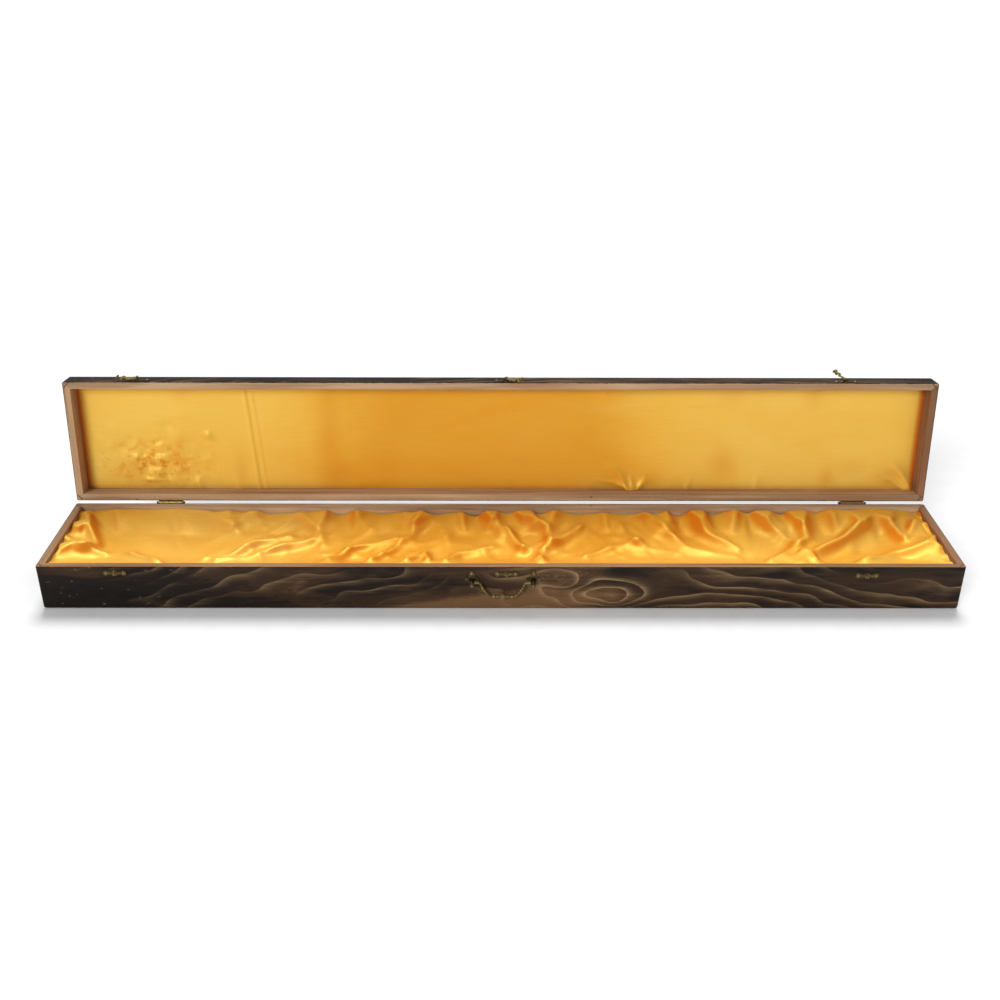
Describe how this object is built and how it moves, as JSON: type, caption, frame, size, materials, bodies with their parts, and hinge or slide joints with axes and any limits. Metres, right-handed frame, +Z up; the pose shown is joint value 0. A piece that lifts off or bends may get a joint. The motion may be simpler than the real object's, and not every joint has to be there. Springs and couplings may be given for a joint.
{
  "type": "sword presentation box",
  "caption": "Long low wooden sword box with a hinged lid, padded satin lining, swing-and-lift latches, catches and a front bail handle, standing open.",
  "frame": {"origin": "centre of the base's underside", "axes": "+X along the length to the right seen from the front, +Y from the front to the hinged back, +Z up"},
  "size_m": [1.12, 0.2233, 0.2418],
  "materials": {
    "stained_wood": "dark scorched stain with lighter grain outside, bare pale wood on rims and inner faces",
    "stained_panel": "dark stained thin board",
    "gold_satin": "glossy gold satin",
    "cotton_wadding": "soft wadding",
    "card": "grey-brown card",
    "antique_bronze": "antiqued, dark in the hollows and rubbed bright on high spots",
    "steel_wire": "dull wire"
  },
  "bodies": {
    "base": {"base_front_board": "stained_wood", "base_back_board": "stained_wood", "base_left_board": "stained_wood", "base_right_board": "stained_wood", "base_bottom_panel": "stained_panel", "base_corner_staples": "steel_wire", "bottom_panel_nails": "steel_wire", "base_wadding": "cotton_wadding", "base_satin_lining": "gold_satin", "left_hinge_base_leaf": "antique_bronze", "right_hinge_base_leaf": "antique_bronze", "left_hinge_pin": "antique_bronze", "right_hinge_pin": "antique_bronze", "hinge_base_nails": "antique_bronze", "left_catch_plate": "antique_bronze", "centre_catch_plate": "antique_bronze", "right_catch_plate": "antique_bronze", "left_catch_stud": "antique_bronze", "centre_catch_stud": "antique_bronze", "right_catch_stud": "antique_bronze", "catch_plate_nails": "antique_bronze", "handle_left_plate": "antique_bronze", "handle_right_plate": "antique_bronze", "handle_plate_nails": "antique_bronze"},
    "lid": {"lid_front_board": "stained_wood", "lid_back_board": "stained_wood", "lid_left_board": "stained_wood", "lid_right_board": "stained_wood", "lid_top_panel": "stained_panel", "lid_corner_staples": "steel_wire", "lid_corner_brads": "steel_wire", "top_panel_nails": "steel_wire", "lid_backing_card": "card", "lid_wadding": "cotton_wadding", "lid_satin_panel": "gold_satin", "left_hinge_lid_leaf": "antique_bronze", "right_hinge_lid_leaf": "antique_bronze", "hinge_lid_nails": "antique_bronze", "left_latch_plate": "antique_bronze", "centre_latch_plate": "antique_bronze", "right_latch_plate": "antique_bronze", "latch_plate_nails": "antique_bronze"},
    "bail": {"handle_bail": "antique_bronze"},
    "left_swivel": {"left_latch_swivel": "antique_bronze", "left_latch_cross_pin": "antique_bronze"},
    "left_lever": {"left_latch_lever": "antique_bronze"},
    "centre_swivel": {"centre_latch_swivel": "antique_bronze", "centre_latch_cross_pin": "antique_bronze"},
    "centre_lever": {"centre_latch_lever": "antique_bronze"},
    "right_swivel": {"right_latch_swivel": "antique_bronze", "right_latch_cross_pin": "antique_bronze"},
    "right_lever": {"right_latch_lever": "antique_bronze"}
  },
  "joints": [
    {"name": "lid_hinge", "type": "hinge", "parent": "base", "child": "lid", "pos_m": [0, 0.0832, 0.0601], "axis": [1, 0, 0], "range_deg": [0, 97.5]},
    {"name": "handle_swing", "type": "hinge", "parent": "base", "child": "bail", "pos_m": [0.00075, -0.086, 0.041], "axis": [-1, 0, 0], "range_deg": [0, 95]},
    {"name": "left_latch_swing", "type": "hinge", "parent": "lid", "child": "left_swivel", "pos_m": [-0.466, 0.1126, 0.22134], "axis": [0, 0.1305, 0.9914], "range_deg": [-26, 174]},
    {"name": "left_latch_lift", "type": "hinge", "parent": "left_swivel", "child": "left_lever", "pos_m": [-0.466, 0.11312, 0.22531], "axis": [-0.2756, 0.953, -0.1255], "range_deg": [0, 95]},
    {"name": "centre_latch_swing", "type": "hinge", "parent": "lid", "child": "centre_swivel", "pos_m": [0.0055, 0.11141, 0.2215], "axis": [0, 0.1305, 0.9914], "range_deg": [-158, 42]},
    {"name": "centre_latch_lift", "type": "hinge", "parent": "centre_swivel", "child": "centre_lever", "pos_m": [0.0055, 0.11193, 0.22546], "axis": [-0.5299, -0.8408, 0.1107], "range_deg": [0, 95]},
    {"name": "right_latch_swing", "type": "hinge", "parent": "lid", "child": "right_swivel", "pos_m": [0.4415, 0.10943, 0.22176], "axis": [0, 0.1305, 0.9914], "range_deg": [-37, 163]},
    {"name": "right_latch_lift", "type": "hinge", "parent": "right_swivel", "child": "right_lever", "pos_m": [0.4415, 0.10995, 0.22573], "axis": [-0.454, 0.8834, -0.1163], "range_deg": [-27.6, 67.4]}
  ]
}
